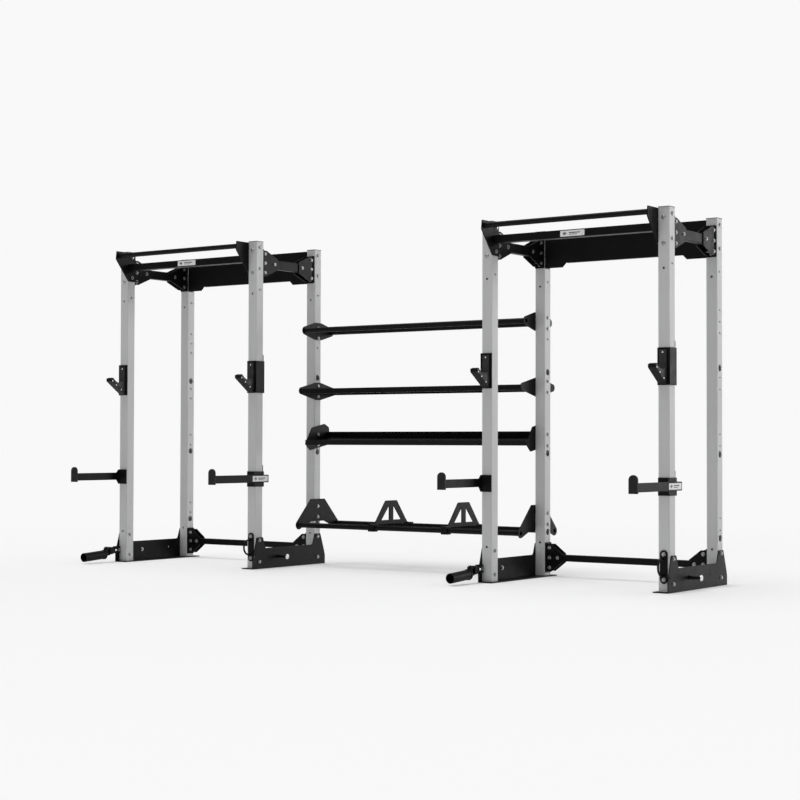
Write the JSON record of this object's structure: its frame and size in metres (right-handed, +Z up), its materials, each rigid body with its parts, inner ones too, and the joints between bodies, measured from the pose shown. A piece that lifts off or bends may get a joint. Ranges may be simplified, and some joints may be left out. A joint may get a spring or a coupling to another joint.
{
  "type": "power cage",
  "caption": "Twin power cage with front pull-up bars, height-adjustable bar hooks and safety arms, pivoting bar sockets, and a four-level storage bridge between the cages.",
  "frame": {"origin": "floor level, under the centre of the bounding box", "axes": "+Z up, -Y towards the lifter's side with the hooks and safety arms, +X to the right-hand cage seen from the front"},
  "size_m": [4.397, 1.3174, 2.15],
  "materials": {
    "upright_paint": "satin powder coat, light silver grey",
    "frame_paint": "fine-textured black powder coat",
    "zinc_bolts": "bright zinc",
    "peg_chrome": "polished",
    "wear_plastic": "dark grey wear plastic",
    "stop_plastic": "matt black",
    "badge_plate": "satin light plate, no mark"
  },
  "bodies": {
    "frame": {"upright_front_far_left": "upright_paint", "upright_rear_far_left": "upright_paint", "foot_plate_far_left": "frame_paint", "upright_front_mid_left": "upright_paint", "upright_rear_mid_left": "upright_paint", "foot_plate_mid_left": "frame_paint", "upright_front_mid_right": "upright_paint", "upright_rear_mid_right": "upright_paint", "foot_plate_mid_right": "frame_paint", "upright_front_far_right": "upright_paint", "upright_rear_far_right": "upright_paint", "foot_plate_far_right": "frame_paint", "upright_caps": "frame_paint", "pull_up_bar_left": "frame_paint", "header_panel_left": "frame_paint", "pull_up_bar_right": "frame_paint", "header_panel_right": "frame_paint", "wing_plates": "frame_paint", "front_beams": "frame_paint", "brace_tubes": "frame_paint", "end_brackets": "frame_paint", "rear_crossbars": "frame_paint", "band_pegs": "frame_paint", "rope_anchors": "frame_paint", "ball_rack_brackets": "frame_paint", "flat_tray_brackets": "frame_paint", "sloped_tray_brackets": "frame_paint", "disc_rack_brackets": "frame_paint", "ball_rack_rails": "frame_paint", "disc_rack_rails": "frame_paint", "flat_tray": "frame_paint", "sloped_tray": "frame_paint", "socket_mounts": "frame_paint", "beam_badges": "badge_plate", "peg_caps": "peg_chrome", "frame_bolts": "zinc_bolts", "shelf_bolts": "zinc_bolts", "locking_pins": "peg_chrome"},
    "hook_far_left": {"hook_bracket_far_left": "frame_paint", "hook_liner_far_left": "wear_plastic"},
    "hook_mid_left": {"hook_bracket_mid_left": "frame_paint", "hook_liner_mid_left": "wear_plastic"},
    "hook_mid_right": {"hook_bracket_mid_right": "frame_paint", "hook_liner_mid_right": "wear_plastic"},
    "hook_far_right": {"hook_bracket_far_right": "frame_paint", "hook_liner_far_right": "wear_plastic"},
    "arm_far_left": {"arm_frame_far_left": "frame_paint", "arm_stop_far_left": "stop_plastic"},
    "arm_mid_left": {"arm_frame_mid_left": "frame_paint", "arm_stop_mid_left": "stop_plastic"},
    "arm_mid_right": {"arm_frame_mid_right": "frame_paint", "arm_stop_mid_right": "stop_plastic"},
    "arm_far_right": {"arm_frame_far_right": "frame_paint", "arm_stop_far_right": "stop_plastic"},
    "disc_divider_left": {"disc_divider_left": "frame_paint"},
    "disc_divider_right": {"disc_divider_right": "frame_paint"},
    "socket_knuckle_left": {"socket_knuckle_left": "frame_paint"},
    "socket_tube_left": {"socket_tube_left": "frame_paint"},
    "socket_knuckle_right": {"socket_knuckle_right": "frame_paint"},
    "socket_tube_right": {"socket_tube_right": "frame_paint"}
  },
  "joints": [
    {"name": "hook_height_far_left", "type": "slide", "parent": "frame", "child": "hook_far_left", "axis": [0, 0, 1], "range_m": [0, 0.4]},
    {"name": "hook_height_mid_left", "type": "slide", "parent": "frame", "child": "hook_mid_left", "axis": [0, 0, 1], "range_m": [0, 0.4]},
    {"name": "hook_height_mid_right", "type": "slide", "parent": "frame", "child": "hook_mid_right", "axis": [0, 0, 1], "range_m": [0, 0.4]},
    {"name": "hook_height_far_right", "type": "slide", "parent": "frame", "child": "hook_far_right", "axis": [0, 0, 1], "range_m": [0, 0.4]},
    {"name": "arm_height_far_left", "type": "slide", "parent": "frame", "child": "arm_far_left", "axis": [0, 0, 1], "range_m": [0, 0.4]},
    {"name": "arm_height_mid_left", "type": "slide", "parent": "frame", "child": "arm_mid_left", "axis": [0, 0, 1], "range_m": [0, 0.4]},
    {"name": "arm_height_mid_right", "type": "slide", "parent": "frame", "child": "arm_mid_right", "axis": [0, 0, 1], "range_m": [0, 0.4]},
    {"name": "arm_height_far_right", "type": "slide", "parent": "frame", "child": "arm_far_right", "axis": [0, 0, 1], "range_m": [0, 0.4]},
    {"name": "divider_shift_left", "type": "slide", "parent": "frame", "child": "disc_divider_left", "axis": [1, 0, 0], "range_m": [-0.15, 0.15]},
    {"name": "divider_shift_right", "type": "slide", "parent": "frame", "child": "disc_divider_right", "axis": [1, 0, 0], "range_m": [-0.15, 0.15]},
    {"name": "socket_lift_left", "type": "hinge", "parent": "frame", "child": "socket_knuckle_left", "pos_m": [-2.1155, -0.27975, 0.082], "axis": [-1, 0, 0], "range_deg": [0, 60]},
    {"name": "socket_turn_left", "type": "hinge", "parent": "socket_knuckle_left", "child": "socket_tube_left", "pos_m": [-2.1155, -0.34762, 0.07785], "axis": [0, -0.061, 0.9981], "range_deg": [-50, 50]},
    {"name": "socket_lift_right", "type": "hinge", "parent": "frame", "child": "socket_knuckle_right", "pos_m": [0.8745, -0.27975, 0.082], "axis": [-1, 0, 0], "range_deg": [0, 60]},
    {"name": "socket_turn_right", "type": "hinge", "parent": "socket_knuckle_right", "child": "socket_tube_right", "pos_m": [0.8745, -0.34762, 0.07785], "axis": [0, -0.061, 0.9981], "range_deg": [-50, 50]}
  ]
}
